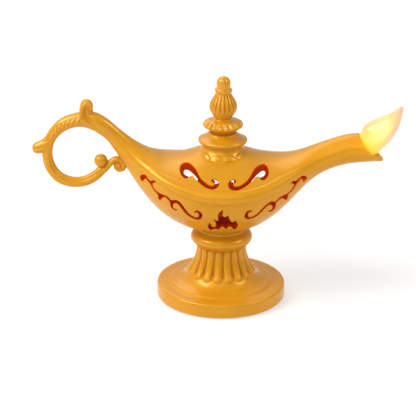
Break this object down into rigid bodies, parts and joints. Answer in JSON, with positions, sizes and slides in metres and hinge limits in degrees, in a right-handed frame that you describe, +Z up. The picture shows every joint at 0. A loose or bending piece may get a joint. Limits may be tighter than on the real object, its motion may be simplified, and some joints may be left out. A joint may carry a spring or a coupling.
{
  "type": "magic lamp",
  "caption": "Table lamp shaped like a traditional oil lamp: round foot, pierced boat-shaped bowl, loop handle, lift-off lid with finial, and a spout with a glowing flame.",
  "frame": {"origin": "centre of the foot's flat underside", "axes": "+X towards the spout, -Y towards the front, +Z up along the stem and the finial"},
  "size_m": [0.129, 0.0458, 0.0813],
  "materials": {
    "gold_plastic": "satin gold-coloured moulded plastic",
    "red_plastic": "red-orange moulded plastic, as inside the bowl",
    "white_plastic": "natural white moulded plastic",
    "black_plastic": "black moulded plastic",
    "steel": "bright steel",
    "nickel": "nickel-plated spring strip",
    "flame_amber": "translucent soft plastic, lit from inside",
    "led_lens": "clear warm lens",
    "wire_red": "red insulation",
    "wire_black": "black insulation"
  },
  "bodies": {
    "base": {"pedestal": "gold_plastic", "stem_collar": "gold_plastic", "body_lower_shell": "gold_plastic", "body_upper_shell": "gold_plastic", "handle": "gold_plastic", "neck_collar": "gold_plastic", "base_plate": "red_plastic", "stem_nut": "red_plastic", "led_socket": "white_plastic", "switch_body": "black_plastic", "base_screw_1": "steel", "base_screw_2": "steel", "base_screw_3": "steel", "coin_cell": "steel", "contact_positive": "nickel", "contact_negative": "nickel", "flame": "flame_amber", "led": "led_lens", "wire_positive": "wire_red", "wire_negative": "wire_black"},
    "lid": {"lid": "gold_plastic", "finial": "gold_plastic", "finial_screw": "steel"},
    "switch": {"switch_slider": "white_plastic"},
    "battery_cap": {"battery_cap": "red_plastic"}
  },
  "joints": [
    {"name": "lid_lift", "type": "slide", "parent": "base", "child": "lid", "axis": [0, 0, 1], "range_m": [0, 0.03]},
    {"name": "switch_slide", "type": "slide", "parent": "base", "child": "switch", "axis": [-1, 0, 0], "range_m": [0, 0.003]},
    {"name": "cap_turn", "type": "hinge", "parent": "base", "child": "battery_cap", "pos_m": [-0.0104, 0, 0.00075], "axis": [0, 0, 1], "range_deg": [0, 60]}
  ]
}
